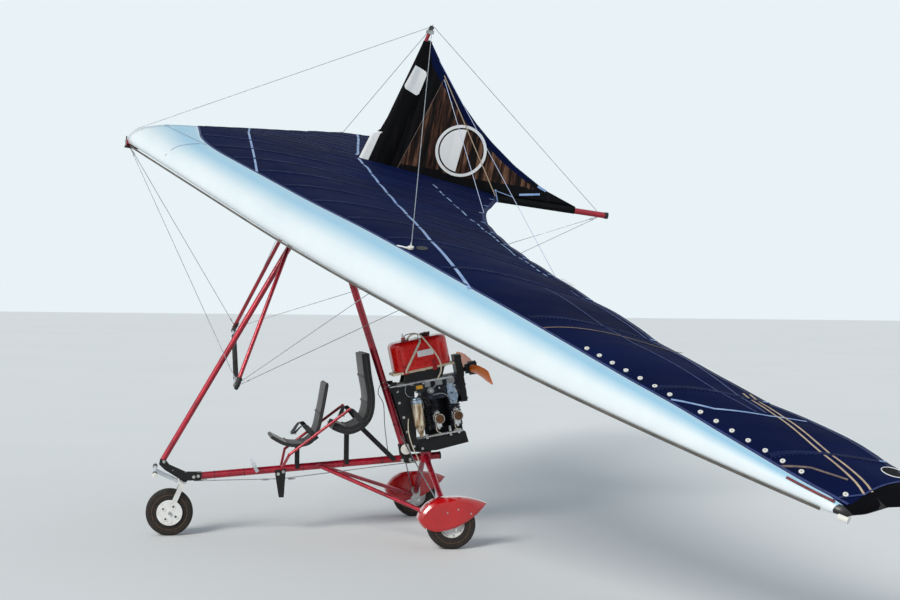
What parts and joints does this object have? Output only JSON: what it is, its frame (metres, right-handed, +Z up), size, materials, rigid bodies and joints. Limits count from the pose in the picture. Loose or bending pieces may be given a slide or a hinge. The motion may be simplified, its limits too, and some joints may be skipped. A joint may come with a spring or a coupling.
{
  "type": "flex-wing microlight aircraft",
  "caption": "Two-seat flex-wing microlight: banked swept sail with a tall keel fin, control frame and kingpost, over a three-wheeled tube frame with tandem sling seats and a pusher engine.",
  "frame": {"origin": "the hang bolt at the mast head, where the wing hangs", "axes": "+X forward along the aircraft, +Y to port across the span, +Z up; the wheels stand on a level floor"},
  "size_m": [3.7238, 9.5199, 3.4799],
  "materials": {
    "black_cloth": "matte",
    "black_paint": "satin",
    "black_plastic": "satin",
    "cast_alloy": "satin",
    "filter_foam": "matte",
    "navy_cloth": "satin",
    "orange_paint": "gloss",
    "red_alloy": "gloss",
    "red_paint": "gloss",
    "red_plastic": "gloss",
    "silver_alloy": "satin",
    "steel": "satin",
    "tyre": "matte",
    "white_paint": "gloss",
    "white_plastic": "satin"
  },
  "bodies": {
    "trike": {"air_filters": "filter_foam", "base_tube": "red_alloy", "carburettors": "cast_alloy", "cylinder_heads": "cast_alloy", "drag_struts": "red_alloy", "engine_block": "cast_alloy", "engine_mount": "black_paint", "engine_rails": "silver_alloy", "exhaust_can": "steel", "front_strut": "red_alloy", "fuel_tank": "red_paint", "leg_socket": "red_alloy", "mast": "red_alloy", "mast_braces": "steel", "mast_bracket": "black_paint", "mast_head": "black_paint", "nose_bracket": "black_paint", "passenger_footrests": "silver_alloy", "passenger_seat": "black_cloth", "pilot_seat": "black_cloth", "rear_legs": "red_alloy", "reduction_drive": "black_paint", "seat_frame": "black_paint", "side_rails": "red_alloy", "silencer": "black_paint", "skid_post": "black_paint", "spats": "red_plastic", "stub_axles": "steel", "tank_shelf": "white_plastic", "tank_stand": "black_paint", "under_cable": "steel"},
    "fork": {"front_fork": "white_paint", "foot_bar": "silver_alloy"},
    "front_wheel": {"front_tyre": "tyre", "front_hub": "white_plastic"},
    "port_wheel": {"port_tyre": "tyre", "port_hub": "white_plastic"},
    "starboard_wheel": {"starboard_tyre": "tyre", "starboard_hub": "white_plastic"},
    "propeller": {"propeller_hub": "black_paint", "propeller_blades": "orange_paint"},
    "hang_block": {"hang_block": "silver_alloy"},
    "wing": {"apex_bracket": "black_paint", "base_bar": "silver_alloy", "cross_tubes": "silver_alloy", "downtubes": "red_alloy", "fin": "black_cloth", "keel_fittings": "black_plastic", "keel_pocket": "navy_cloth", "keel_tube": "red_alloy", "kingpost": "red_alloy", "lower_wires": "steel", "nose_plate": "black_paint", "port_sail": "navy_cloth", "starboard_sail": "navy_cloth", "tip_caps": "white_plastic", "upper_wires": "steel"}
  },
  "joints": [
    {"name": "steering", "type": "hinge", "parent": "trike", "child": "fork", "pos_m": [0.934, 0, -2.011], "axis": [-0.3613, 0, 0.9324], "range_deg": [-25, 25]},
    {"name": "front_wheel_spin", "type": "hinge", "parent": "fork", "child": "front_wheel", "pos_m": [1.018, 0, -2.205], "axis": [0, 1, 0], "continuous": true},
    {"name": "port_wheel_spin", "type": "hinge", "parent": "trike", "child": "port_wheel", "pos_m": [-0.782, 0.762, -2.205], "axis": [0, 1, 0], "continuous": true},
    {"name": "starboard_wheel_spin", "type": "hinge", "parent": "trike", "child": "starboard_wheel", "pos_m": [-0.782, -0.762, -2.205], "axis": [0, 1, 0], "continuous": true},
    {"name": "propeller_spin", "type": "hinge", "parent": "trike", "child": "propeller", "pos_m": [-1.03736, 0, -1.22471], "axis": [0.9848, 0, -0.1736], "continuous": true},
    {"name": "wing_pitch", "type": "hinge", "parent": "trike", "child": "hang_block", "pos_m": [0, 0, 0], "axis": [0, 1, 0], "range_deg": [-2, 14]},
    {"name": "wing_roll", "type": "hinge", "parent": "hang_block", "child": "wing", "pos_m": [-0.01479, 0, 0.11808], "axis": [0.9922, 0, 0.1243], "range_deg": [-6.5, 32.8]}
  ]
}
